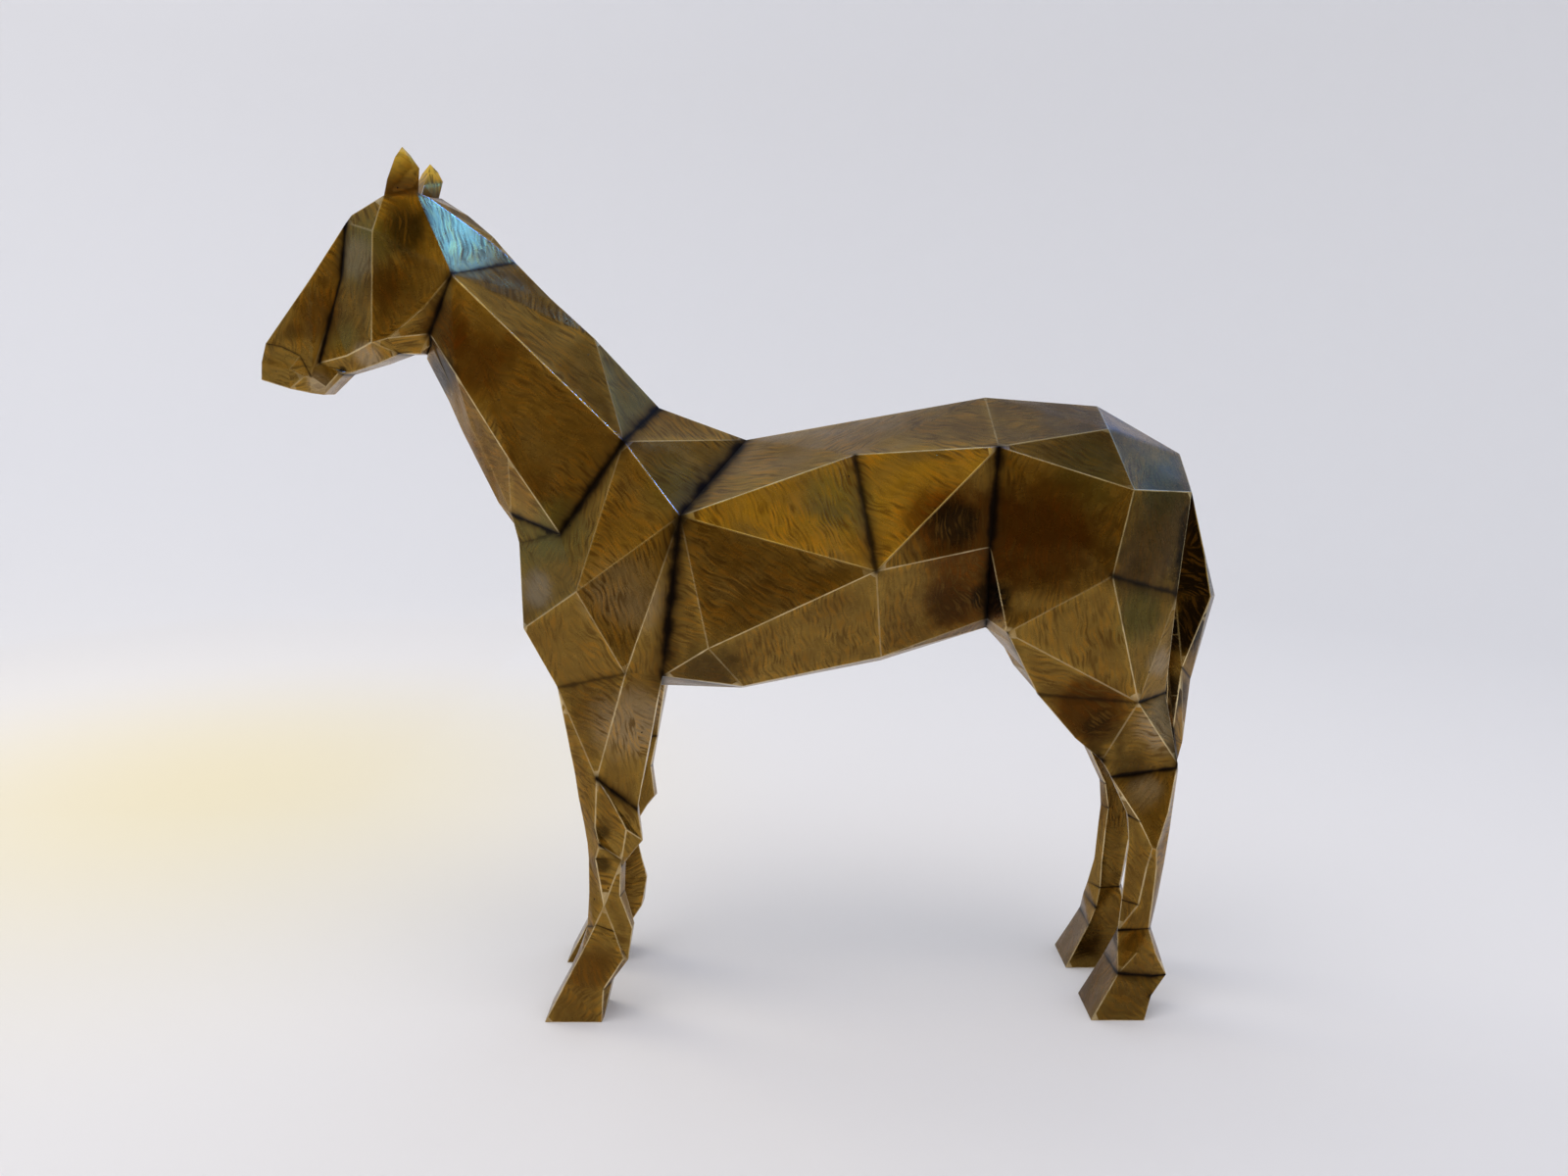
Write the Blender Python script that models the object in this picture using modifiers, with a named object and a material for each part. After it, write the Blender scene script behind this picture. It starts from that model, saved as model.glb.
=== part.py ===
"""Faceted horse: a cast bronze figure of a standing horse, cut into flat facets.

The horse faces -X and stands on its own hooves at Z = 0. The left half of its skin is
modelled on the -Y side, open along the middle of the body, and a mirror closes it.

The pose is drawn at 1000 units from the floor to the ear tips. A corner of the skin is
written as (along, out, up): along runs from the nose to the tail, out is the distance
from the middle of the body, up is the height above the floor. The three driving sizes
then stretch the drawing to the real height, length and width.
"""

import bmesh
import bpy
from mathutils import Vector

HEIGHT = 0.350
LENGTH = 0.390
WIDTH = 0.0903
BRONZE_COLOUR = (0.26, 0.16, 0.055, 1.0)
BRONZE_ROUGHNESS = 0.38
MERGE = 0.00005

HEAD = {
    "nose top": (-554, 17, 792),
    "nose bend": (-558, 22, 771),
    "lip front": (-561, 19, 751),
    "bridge": (-493, 25, 866),
    "face top": (-449, 30, 923),
    "brow": (-442, 31, 931),
    "groove": (-459, 27, 865),
    "groove low": (-473, 26, 824),
    "mouth top": (-488, 32, 770),
    "mouth mid": (-494, 34, 765),
    "mouth rear": (-498, 34, 755),
    "mouth front": (-506, 33, 755),
    "nostril front": (-533, 22, 788),
    "nostril top": (-511, 28, 778),
    "nostril low": (-523, 30, 763),
    "lip low": (-526, 26, 741),
    "lip rear": (-503, 23, 736),
    "chin low": (-491, 17, 734),
    "chin side": (-485, 25, 743),
    "chin edge": (-469, 26, 759),
    "chin rear": (-466, 17, 757),
    "jaw front": (-455, 36, 778),
    "eye": (-414, 49, 912),
    "cheek": (-423, 46, 792),
    "cheek low": (-405, 45, 797),
    "cheek bend": (-362, 44, 832),
    "jaw angle": (-361, 34, 802),
    "throat": (-331, 44, 866),
    "jaw keel": (-455, 17, 760),
    "jaw keel mid": (-426, 23, 769),
    "jaw keel rear": (-398, 29, 780),
    "gullet": (-375, 26, 780),
    "poll": (-385, 0, 946),
}

EAR = {
    "ear front": (-401, 44, 950),
    "ear side": (-369, 39, 958),
    "ear rear": (-364, 37, 953),
    "ear inner": (-382, 18, 950),
    "ear belly front": (-396, 46, 967),
    "ear belly side": (-365, 52, 979),
    "ear belly rear": (-359, 44, 977),
    "ear belly inner": (-378, 30, 972),
    "ear top front": (-385, 50, 989),
    "ear top side": (-369, 56, 990),
    "ear top rear": (-366, 51, 989),
    "ear top inner": (-374, 43, 988),
    "ear tip": (-376, 51, 1000),
}

NECK = {
    "crest start": (-355, 32, 950),
    "crest high": (-332, 23, 933),
    "crest low": (-294, 9, 905),
    "crest ridge start": (-350, 0, 953),
    "crest ridge high": (-320, 0, 934),
    "crest ridge low": (-293, 0, 911),
    "crest end": (-269, 0, 883),
    "mane high": (-230, 0, 843),
    "mane low": (-181, 0, 798),
    "withers": (-108, 0, 719),
    "neck edge high": (-331, 48, 758),
    "neck edge low": (-273, 60, 665),
    "neck foot": (-215, 71, 580),
    "shoulder top": (-140, 77, 684),
    "windpipe side a": (-362, 28, 790),
    "windpipe side b": (-341, 26, 741),
    "windpipe side c": (-321, 27, 697),
    "windpipe side d": (-299, 28, 649),
    "windpipe side e": (-279, 28, 598),
    "windpipe a": (-376, 0, 775),
    "windpipe b": (-353, 0, 727),
    "windpipe c": (-339, 0, 692),
    "windpipe d": (-322, 0, 655),
    "windpipe e": (-300, 0, 608),
}

CHEST = {
    "chest top": (-270, 34, 565),
    "chest low": (-262, 64, 470),
    "point": (-194, 97, 519),
    "leg front": (-224, 71, 402),
    "elbow": (-141, 103, 426),
    "blade": (-76, 111, 605),
    "armpit": (-101, 85, 419),
    "breast": (-222, 0, 408),
    "sternum": (-160, 0, 394),
    "leg front inner": (-214, 42, 400),
}

TRUNK = {
    "back": (-7, 0, 682),
    "croup": (271, 0, 731),
    "rump ridge": (402, 0, 721),
    "dock": (501, 0, 666),
    "rib top": (115, 86, 670),
    "hip": (269, 109, 680),
    "flank": (137, 129, 547),
    "girth": (-47, 106, 456),
    "flank fold": (265, 97, 569),
    "belly front": (-10, 69, 403),
    "belly mid": (149, 63, 436),
    "belly rear": (271, 56, 480),
    "keel start": (-108, 43, 398),
    "keel front": (-12, 34, 392),
    "keel mid": (151, 37, 426),
    "keel rear": (273, 38, 466),
}

HINDQUARTER = {
    "rump side": (400, 60, 697),
    "pin bone": (419, 104, 633),
    "thigh": (399, 108, 538),
    "gaskin": (441, 88, 389),
    "fold low": (288, 92, 471),
    "stifle": (297, 83, 455),
    "buttock top": (502, 46, 625),
    "buttock": (491, 50, 508),
    "buttock low": (482, 56, 392),
    "tail root": (511, 20, 623),
    "shin top": (329, 72, 394),
    "shin mid": (375, 71, 341),
    "shin low": (407, 71, 314),
    "hock rear": (495, 74, 312),
    "crotch": (462, 0, 440),
    "groin": (362, 0, 446),
    "thigh inner front": (340, 36, 394),
    "thigh inner rear": (466, 34, 398),
    "shin inner": (410, 42, 312),
    "hock inner": (490, 45, 312),
}

TAIL = {
    "tail root ridge": (513, 0, 626),
    "tail front a": (505, 16, 560),
    "tail front b": (500, 17, 500),
    "tail front c": (497, 14, 413),
    "tail front d": (500, 11, 336),
    "tail edge a": (529, 20, 556),
    "tail edge b": (540, 23, 499),
    "tail edge c": (512, 20, 413),
    "tail edge d": (507, 16, 336),
    "tail ridge a": (536, 0, 555),
    "tail ridge b": (553, 0, 497),
    "tail ridge c": (530, 0, 394),
    "tail ridge d": (525, 0, 314),
    "tail tip": (519, 5, 285),
    "dock under": (498, 0, 548),
}

# Each ring of the foreleg: front, outer front, outer rear, rear, inner rear, inner front.
FORELEG = [
    [(-206, 77, 300), (-178, 94, 300), (-178, 94, 300), (-124, 83, 306), (-125, 66, 302), (-196, 58, 300)],
    [(-203, 77, 274), (-178, 94, 300), (-162, 97, 276), (-133, 83, 259), (-134, 66, 262), (-194, 58, 276)],
    [(-197, 77, 238), (-182, 91, 240), (-145, 94, 239), (-128, 80, 220), (-130, 66, 222), (-190, 59, 238)],
    [(-194, 77, 216), (-177, 94, 220), (-152, 91, 201), (-138, 83, 209), (-140, 66, 209), (-186, 60, 216)],
    [(-193, 77, 199), (-183, 89, 201), (-153, 89, 198), (-153, 85, 190), (-150, 69, 192), (-184, 62, 199)],
    [(-194, 77, 150), (-174, 91, 143), (-174, 91, 143), (-156, 83, 152), (-152, 68, 153), (-186, 63, 150)],
    [(-197, 77, 110), (-185, 90, 119), (-163, 89, 110), (-143, 77, 108), (-142, 66, 110), (-190, 60, 112)],
    [(-205, 75, 88), (-202, 94, 85), (-152, 93, 78), (-148, 84, 72), (-149, 60, 73), (-204, 54, 86)],
    [(-222, 74, 48), (-222, 97, 48), (-176, 100, 42), (-167, 90, 48), (-166, 56, 48), (-222, 50, 47)],
    [(-247, 75, 0), (-247, 100, 0), (-179, 100, 0), (-178, 90, 0), (-178, 46, 0), (-247, 46, 0)],
]

# Each ring of the hind leg: front, outer front, outer rear, rear, inner rear, inner front.
HIND_LEG = [
    [(423, 55, 290), (420, 67, 293), (495, 72, 306), (500, 62, 300), (492, 44, 302), (423, 44, 292)],
    [(443, 63, 245), (454, 76, 241), (486, 78, 254), (497, 62, 262), (490, 45, 262), (446, 46, 245)],
    [(446, 63, 212), (468, 83, 212), (473, 83, 210), (494, 62, 223), (486, 46, 222), (452, 48, 212)],
    [(444, 63, 186), (464, 78, 184), (476, 78, 185), (490, 63, 187), (482, 47, 186), (450, 49, 186)],
    [(441, 63, 138), (457, 77, 138), (474, 77, 144), (485, 63, 147), (477, 48, 145), (447, 49, 138)],
    [(436, 71, 103), (454, 77, 107), (471, 77, 108), (478, 63, 103), (471, 46, 106), (446, 47, 104)],
    [(434, 80, 84), (455, 86, 81), (480, 80, 78), (488, 63, 76), (480, 42, 78), (440, 40, 80)],
    [(432, 84, 58), (433, 91, 58), (477, 80, 49), (496, 75, 48), (477, 39, 49), (431, 37, 58)],
    [(420, 64, 33), (420, 93, 33), (474, 91, 29), (474, 63, 29), (474, 37, 29), (418, 35, 32)],
    [(402, 64, 0), (402, 96, 0), (466, 96, 0), (466, 63, 0), (466, 32, 0), (402, 32, 0)],
]

FORELEG_TOP = ["leg front", "leg front", "elbow", "armpit", "keel start", "leg front inner"]
HIND_LEG_TOP = ["shin low", "shin low", "hock rear", "hock rear", "hock inner", "shin inner"]

FACETS = {
    "face": [
        "nose top, nostril front, bridge",
        "bridge, nostril front, nostril top",
        "bridge, nostril top, mouth mid",
        "bridge, mouth mid, groove low",
        "bridge, groove low, groove",
        "bridge, groove, face top",
        "groove low, mouth mid, mouth top",
    ],
    "nostril": [
        "nose top, nose bend, nostril front",
        "nostril front, nose bend, nostril low",
        "nostril front, nostril low, nostril top",
        "nostril top, nostril low, mouth rear",
        "nostril top, mouth rear, mouth mid",
        "nostril low, mouth front, mouth rear",
    ],
    "lip and chin": [
        "nose bend, lip front, lip low",
        "nose bend, lip low, nostril low",
        "nostril low, lip low, mouth front",
        "mouth front, lip low, lip rear, mouth rear",
        "mouth rear, lip rear, chin side",
        "mouth rear, chin side, mouth mid",
        "mouth mid, chin side, mouth top",
        "mouth top, chin side, chin edge",
        "lip rear, chin low, chin side",
        "chin edge, chin side, chin low, chin rear",
    ],
    "cheek": [
        "brow, face top, eye",
        "face top, groove, eye",
        "groove, cheek, eye",
        "groove, groove low, cheek",
        "groove low, jaw front, cheek",
        "groove low, mouth top, jaw front",
        "brow, eye, ear front",
        "eye, ear side, ear front",
        "eye, throat, ear side",
        "ear side, throat, ear rear",
        "eye, cheek, throat",
        "cheek, cheek bend, throat",
        "cheek, cheek low, cheek bend",
        "cheek low, jaw angle, cheek bend",
        "cheek bend, jaw angle, throat",
    ],
    "jaw": [
        "mouth top, chin edge, jaw keel",
        "mouth top, jaw keel, jaw front",
        "chin edge, chin rear, jaw keel",
        "jaw front, jaw keel, jaw keel mid",
        "jaw front, jaw keel mid, cheek",
        "cheek, jaw keel mid, jaw keel rear",
        "cheek, jaw keel rear, cheek low",
        "cheek low, jaw keel rear, jaw angle",
        "jaw keel rear, gullet, jaw angle",
    ],
    "poll": [
        "throat, crest start, ear rear",
        "throat, crest high, crest start",
        "throat, crest low, crest high",
        "throat, crest end, crest low",
        "crest start, crest high, crest ridge high, crest ridge start",
        "crest high, crest low, crest ridge low, crest ridge high",
        "crest low, crest end, crest ridge low",
        "poll, ear inner, ear rear, crest start, crest ridge start",
        "brow, ear front, ear inner, poll, brow middle",
    ],
    "neck": [
        "throat, mane high, crest end",
        "throat, mane low, mane high",
        "throat, shoulder top, mane low",
        "mane low, shoulder top, withers",
        "throat, neck foot, shoulder top",
        "throat, neck edge low, neck foot",
        "throat, neck edge high, neck edge low",
        "throat, jaw angle, neck edge high",
        "jaw angle, gullet, windpipe side a",
        "jaw angle, windpipe side a, windpipe side b, neck edge high",
        "neck edge high, windpipe side b, windpipe side c",
        "neck edge high, windpipe side c, neck edge low",
        "neck edge low, windpipe side c, windpipe side d",
        "neck edge low, windpipe side d, windpipe side e",
        "neck edge low, windpipe side e, neck foot",
        "neck foot, windpipe side e, chest top",
    ],
    "shoulder": [
        "withers, shoulder top, back",
        "shoulder top, blade, back",
        "shoulder top, point, blade",
        "shoulder top, neck foot, point",
        "neck foot, chest top, point",
        "chest top, chest low, point",
        "point, chest low, leg front",
        "point, leg front, elbow",
        "point, elbow, blade",
        "blade, elbow, armpit",
        "chest low, chest low middle, breast, leg front inner, leg front",
        "leg front inner, breast, sternum, keel start",
        "sternum, keel start middle, keel start",
    ],
    "trunk": [
        "back, blade, rib top",
        "back, rib top, croup",
        "croup, rib top, hip",
        "blade, flank, rib top",
        "rib top, flank, hip",
        "hip, flank, flank fold",
        "blade, girth, flank",
        "blade, armpit, girth",
        "girth, belly mid, flank",
        "girth, belly front, belly mid",
        "girth, armpit, belly front",
        "flank, belly mid, flank fold",
        "flank fold, belly mid, belly rear",
    ],
    "hindquarter": [
        "croup, rump side, rump ridge",
        "croup, hip, rump side",
        "rump ridge, rump side, dock",
        "rump side, pin bone, dock",
        "pin bone, buttock top, dock",
        "buttock top, tail root, dock",
        "hip, pin bone, rump side",
        "hip, thigh, pin bone",
        "hip, fold low, thigh",
        "hip, flank fold, fold low",
        "flank fold, belly rear, fold low",
        "belly rear, keel rear, stifle, fold low",
        "pin bone, buttock, buttock top",
        "pin bone, thigh, buttock",
        "thigh, gaskin, buttock",
        "thigh, fold low, gaskin",
        "buttock, gaskin, buttock low",
        "fold low, stifle, shin top, gaskin",
        "gaskin, hock rear, buttock low",
        "gaskin, shin low, hock rear",
        "gaskin, shin mid, shin low",
        "gaskin, shin top, shin mid",
    ],
    "inner thigh": [
        "stifle, keel rear, thigh inner front, shin top",
        "keel rear, keel rear middle, groin, thigh inner front",
        "groin, crotch, thigh inner rear, thigh inner front",
        "crotch, dock under, tail front a, buttock",
        "crotch, buttock, buttock low, thigh inner rear",
        "buttock top, buttock, tail front a",
        "buttock top, tail front a, tail root",
        "shin top, thigh inner front, shin mid",
        "thigh inner front, shin inner, shin low, shin mid",
        "thigh inner front, thigh inner rear, hock inner, shin inner",
        "thigh inner rear, buttock low, hock rear, hock inner",
    ],
}


NOSE_END = HEAD["lip front"][0]
TAIL_END = TAIL["tail ridge b"][0]
WIDEST = TRUNK["flank"][1]
TALLEST = EAR["ear tip"][2]


def place(along, out, up):
    """A corner's place in metres, with the nose and the tail equally far from X = 0."""
    stretch = Vector((LENGTH / (TAIL_END - NOSE_END), WIDTH / (2 * WIDEST), HEIGHT / TALLEST))
    return Vector((along - (NOSE_END + TAIL_END) / 2, -out, up)) * stretch


class Skin:
    """The left half of the horse's skin, built facet by facet between named corners."""

    def __init__(self):
        self.mesh = bmesh.new()
        self.corners = {}

    def add(self, marks):
        for name, mark in marks.items():
            self.corners[name] = self.mesh.verts.new(place(*mark))

    def middles(self, names):
        """Corners on the middle of the body, level with the named ones."""
        for name in names:
            twin = self.corners[name].co.copy()
            twin.y = 0
            self.corners[name + " middle"] = self.mesh.verts.new(twin)
        return [name + " middle" for name in names]

    def facet(self, names):
        self.face([self.corners[name.strip()] for name in names.split(",")])

    def face(self, corners):
        different = list(dict.fromkeys(corners))
        if len(different) > 2:
            self.mesh.faces.new(different)

    def strip(self, first, second):
        """Facets between two rows of corners that run side by side."""
        for at in range(len(first) - 1):
            self.face([first[at], first[at + 1], second[at + 1], second[at]])

    def rows(self, first, second):
        self.strip([self.corners[name] for name in first], [self.corners[name] for name in second])

    def ring(self, marks):
        return [self.mesh.verts.new(place(*mark)) for mark in marks]

    def tube(self, rings, stepped):
        """Triangular facets round a limb, from ring to ring.

        A stepped limb is split from each upper corner down to the next lower one, which cuts
        the notches of the knee. Any other limb is split so that every facet stands out.
        """
        for upper, lower in zip(rings, rings[1:]):
            corners = upper + lower
            middle = sum((corner.co for corner in corners), Vector()) / len(corners)
            for at in range(len(upper)):
                after = (at + 1) % len(upper)
                down = (upper[at], lower[after])
                across = (upper[after], lower[at])
                if stepped or self.reach(down, middle) > self.reach(across, middle):
                    self.face([upper[at], upper[after], lower[after]])
                    self.face([upper[at], lower[after], lower[at]])
                else:
                    self.face([upper[at], upper[after], lower[at]])
                    self.face([upper[after], lower[after], lower[at]])

    @staticmethod
    def reach(pair, middle):
        """How far the line between two corners stands out from the middle of a limb."""
        return ((pair[0].co + pair[1].co) / 2 - middle).length

    def object(self, name):
        bmesh.ops.remove_doubles(self.mesh, verts=self.mesh.verts, dist=MERGE)
        bmesh.ops.recalc_face_normals(self.mesh, faces=self.mesh.faces)
        data = bpy.data.meshes.new(name)
        self.mesh.to_mesh(data)
        self.mesh.free()
        return bpy.data.objects.new(name, data)


def add_head(skin):
    """The strips that run along the middle of the head, and the ear."""
    profile = ["brow", "face top", "bridge", "nose top", "nose bend", "lip front"]
    under = ["lip low", "lip rear", "chin low", "chin rear", "jaw keel", "jaw keel mid", "jaw keel rear", "gullet"]
    skin.rows(profile + under, skin.middles(profile + under))
    sides = ["front", "side", "rear", "inner", "front"]
    stations = ["ear ", "ear belly ", "ear top "]
    for low, high in zip(stations, stations[1:]):
        skin.rows([low + side for side in sides], [high + side for side in sides])
    for side, after in zip(sides, sides[1:]):
        skin.facet(f"ear top {side}, ear top {after}, ear tip")


def add_underline(skin):
    """The strips down the front of the neck and chest and along the belly."""
    chest = skin.middles(["chest top", "chest low"])
    skin.rows(["chest top", "chest low"], chest)
    side = ["windpipe side " + letter for letter in "abcde"]
    front = ["windpipe " + letter for letter in "abcde"]
    skin.rows(["gullet"] + side + ["chest top"], ["gullet middle"] + front + chest[:1])
    keel = ["keel start", "keel front", "keel mid", "keel rear"]
    skin.rows(["armpit", "belly front", "belly mid", "belly rear"], keel)
    skin.rows(keel, skin.middles(keel))


def add_tail(skin):
    """The tail's side, back and front, from its root to its tip."""
    down = ["a", "b", "c", "d"]
    front = ["tail front " + letter for letter in down]
    edge = ["tail edge " + letter for letter in down]
    ridge = ["tail ridge " + letter for letter in down]
    tip = skin.middles(["tail tip"])
    skin.rows(["tail root"] + front + ["tail tip"], ["tail root"] + edge + ["tail tip"])
    skin.rows(["tail root"] + edge + ["tail tip"], ["tail root ridge"] + ridge + tip)
    skin.rows(front + ["tail tip"], ["dock under"] + skin.middles(front[1:]) + tip)
    skin.facet("dock, tail root, tail root ridge")


def add_leg(skin, top, rings, stepped):
    """A limb from a ring of named corners down to the hoof, closed by the flat sole."""
    below = [skin.ring(ring) for ring in rings]
    skin.tube([[skin.corners[name] for name in top]] + below, stepped)
    skin.face(below[-1])


def bronze():
    material = bpy.data.materials.new("bronze")
    material.use_nodes = True
    shader = material.node_tree.nodes["Principled BSDF"]
    shader.inputs["Base Color"].default_value = BRONZE_COLOUR
    shader.inputs["Roughness"].default_value = BRONZE_ROUGHNESS
    shader.inputs["Metallic"].default_value = 1.0
    material.diffuse_color = BRONZE_COLOUR
    return material


def build_horse():
    skin = Skin()
    for marks in (HEAD, EAR, NECK, CHEST, TRUNK, HINDQUARTER, TAIL):
        skin.add(marks)
    add_head(skin)
    add_underline(skin)
    add_tail(skin)
    add_leg(skin, FORELEG_TOP, FORELEG, stepped=True)
    add_leg(skin, HIND_LEG_TOP, HIND_LEG, stepped=False)
    for region in FACETS.values():
        for names in region:
            skin.facet(names)
    horse = skin.object("horse")
    mirror = horse.modifiers.new("other half", "MIRROR")
    mirror.use_axis = (False, True, False)
    mirror.merge_threshold = MERGE
    horse.data.materials.append(bronze())
    return horse


def main():
    for old in list(bpy.data.objects):
        bpy.data.objects.remove(old)
    collection = bpy.data.collections.new("Faceted Horse")
    bpy.context.scene.collection.children.link(collection)
    collection.objects.link(build_horse())


main()
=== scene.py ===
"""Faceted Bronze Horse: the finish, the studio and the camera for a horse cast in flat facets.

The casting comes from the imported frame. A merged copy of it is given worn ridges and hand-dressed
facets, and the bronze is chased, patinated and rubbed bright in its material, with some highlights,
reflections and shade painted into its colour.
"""

import math

import bmesh
import bpy
import numpy as np
from mathutils import Matrix, Vector, noise


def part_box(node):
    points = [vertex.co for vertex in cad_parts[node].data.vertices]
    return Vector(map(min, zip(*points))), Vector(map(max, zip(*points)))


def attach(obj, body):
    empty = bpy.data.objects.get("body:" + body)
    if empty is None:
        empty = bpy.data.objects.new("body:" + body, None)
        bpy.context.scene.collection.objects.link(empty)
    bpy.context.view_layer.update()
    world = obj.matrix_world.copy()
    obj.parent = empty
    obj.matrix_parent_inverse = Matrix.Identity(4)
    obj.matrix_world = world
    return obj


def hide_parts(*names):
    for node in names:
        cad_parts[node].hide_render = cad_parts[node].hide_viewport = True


bl_info = {
    "name": "Faceted Bronze Horse",
    "version": (1, 0, 0),
    "blender": (4, 5, 0),
    "location": "3D View > Sidebar > Bronze Horse",
    "description": "Dresses the faceted horse casting and sets its studio",
    "category": "Object",
}

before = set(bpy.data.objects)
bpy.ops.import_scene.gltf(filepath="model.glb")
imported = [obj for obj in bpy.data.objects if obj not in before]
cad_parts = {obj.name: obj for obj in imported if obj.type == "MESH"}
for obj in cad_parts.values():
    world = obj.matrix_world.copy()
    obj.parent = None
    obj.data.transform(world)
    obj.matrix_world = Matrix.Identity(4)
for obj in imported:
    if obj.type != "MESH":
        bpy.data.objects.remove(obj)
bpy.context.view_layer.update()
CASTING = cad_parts["horse"]
BOX_LOW, BOX_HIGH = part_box("horse")

# All lengths are in metres.
EAR_HEIGHT = 0.0185
EAR_FOOT = BOX_HIGH.z - EAR_HEIGHT
LEG_TOP = 0.105
# Corners of the casting that are nearer than this are one.
MERGE_GAP = 0.000005
# The skin that is this near the floor stays flat.
SOLE_SKIN = 0.0005
# A fold belongs to a place when its middle is nearer to it than this.
PLACE_REACH = 0.0012
# Folds of a leg that are less level than this run down it and hold no patina.
LEAST_LEVEL = 0.3
# A ridge that folds and runs about this far is rubbed fully bare.
BARE_RIDGE_FOLD = math.radians(70)
BARE_RIDGE_LENGTH = 0.022
# A crease that folds this far is fully black. A crack counts as this share of it.
BLACK_CREASE_FOLD = math.radians(24)
CRACK_DEPTH = 0.55
# How much the facets differ: the scale of their noise, and the most that the strokes turn.
FACET_NOISE = 37
MOST_STROKE_TURN = math.radians(150)
# How often the skin's triangles may be divided, and how many points are measured in one go.
MOST_DIVISIONS = 9
POINTS_AT_ONCE = 3000

# Places on the sides of the horse are written as (x, z), and hold for both sides.
# Middles of the folds that are filed over, so that no line shows there.
FILED = {
    "back to ribs": (0.020, 0.237),
    "croup to ribs": (0.069, 0.245),
    "neck foot to shoulder point": (-0.070, 0.192),
    "hip to fold of the flank": (0.099, 0.201),
    "hip to thigh": (0.118, 0.213),
    "rump to dock": (0.159, 0.239),
    "pin bone to buttock": (0.161, 0.200),
    "eye to throat": (-0.129, 0.311),
    "throat down the neck": (-0.115, 0.284),
    "throat to mane": (-0.088, 0.291),
    "nose bridge to mouth": (-0.171, 0.285),
    "nose bridge to groove": (-0.168, 0.296),
    "groove to cheek": (-0.153, 0.290),
    "groove to jaw": (-0.161, 0.280),
    "jaw angle to jaw edge": (-0.131, 0.277),
    "mouth to chin": (-0.169, 0.265),
    "mouth to chin edge": (-0.166, 0.268),
    "nostril to muzzle": (-0.188, 0.268),
    "mouth to jaw keel": (-0.164, 0.268),
    "shin to hock": (0.159, 0.110),
    "elbow to forearm": (-0.045, 0.128),
    "forearm to knee": (-0.050, 0.0935),
    "across the hoof": (0.160, 0.015),
    "poll to cheek": (-0.1207, 0.3188),
}

# Middles of the shallow folds that are cut in as dark cracks.
CRACKED = {
    "ribs to flank": (0.046, 0.213),
    "thigh to buttock": (0.157, 0.183),
}

# Round spots of colour on the skin, as (x, z, radius, share). The red and the olive spots are
# patina that has pooled.
RED_POOLS = (
    (0.112, 0.205, 0.024, 0.9),
    (0.080, 0.208, 0.022, 1.0),
    (0.086, 0.176, 0.017, 1.0),
    (0.137, 0.131, 0.016, 1.0),
    (-0.108, 0.268, 0.016, 0.7),
    (-0.118, 0.284, 0.012, 0.8),
    (-0.169, 0.287, 0.012, 0.6),
    (-0.140, 0.300, 0.012, 0.6),
    (-0.066, 0.024, 0.012, 0.6),
)
# Dark spots: patina pooled black, together with painted shade where the tail and the creases lie in
# shade.
DARK_AND_SHADE_POOLS = (
    (0.184, 0.185, 0.016, 1.0),
    (0.183, 0.205, 0.010, 1.0),
    (0.181, 0.160, 0.012, 1.0),
    (0.162, 0.205, 0.030, 0.6),
    (-0.017, 0.149, 0.018, 0.6),
    (0.097, 0.178, 0.008, 1.0),
    (0.152, 0.003, 0.022, 0.45),
    (0.155, 0.107, 0.010, 0.6),
    (-0.131, 0.319, 0.012, 0.8),
    (0.128, 0.234, 0.018, 0.3),
    (0.080, 0.209, 0.012, 0.8),
    (0.081, 0.175, 0.012, 0.55),
    (0.135, 0.132, 0.012, 0.35),
    (0.144, 0.122, 0.010, 0.5),
    (-0.121, 0.265, 0.010, 0.9),
    (-0.133, 0.298, 0.010, 0.35),
    (-0.1615, 0.2668, 0.0018, 0.8),
    (-0.180, 0.281, 0.005, 0.4),
    (-0.060, 0.082, 0.005, 0.7),
    (-0.060, 0.068, 0.005, 0.7),
    (0.177, 0.133, 0.010, 0.8),
)
# Gold spots: painted warm highlights, laid where facets catch the warm light.
GOLD_HIGHLIGHT_POOLS = (
    (-0.047, 0.181, 0.024, 1.0),
    (0.064, 0.220, 0.022, 1.0),
    (0.006, 0.214, 0.016, 0.8),
    (-0.036, 0.207, 0.016, 0.6),
    (-0.182, 0.263, 0.010, 0.8),
    (0.112, 0.172, 0.016, 0.5),
    (0.163, 0.225, 0.010, 0.8),
    (-0.182, 0.273, 0.007, 1.0),
)
OLIVE_POOLS = (
    (0.034, 0.217, 0.016, 0.7),
    (0.130, 0.225, 0.018, 0.6),
    (-0.028, 0.222, 0.014, 0.6),
    (-0.146, 0.312, 0.016, 0.8),
    (-0.072, 0.205, 0.014, 0.6),
    (0.162, 0.222, 0.016, 0.8),
    (-0.090, 0.198, 0.016, 0.6),
    (0.155, 0.170, 0.014, 0.7),
    (-0.160, 0.280, 0.010, 0.6),
)
# Light khaki spots: painted reflection of the light paper and walls, laid on facets that face them.
PALE_REFLECTION_POOLS = (
    (0.166, 0.151, 0.008, 0.8),
    (0.169, 0.127, 0.013, 1.0),
    (0.162, 0.097, 0.009, 0.8),
    (-0.046, 0.126, 0.017, 0.6),
    (-0.084, 0.181, 0.009, 0.7),
    (-0.047, 0.181, 0.018, 0.6),
    (-0.150, 0.272, 0.006, 0.9),
    (-0.171, 0.262, 0.005, 0.9),
    (-0.151, 0.310, 0.010, 0.5),
)
# How far from a spot's middle its colour ends and is full, in radii of the spot.
POOL_EDGE = 1.35
POOL_CORE = 0.35

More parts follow.
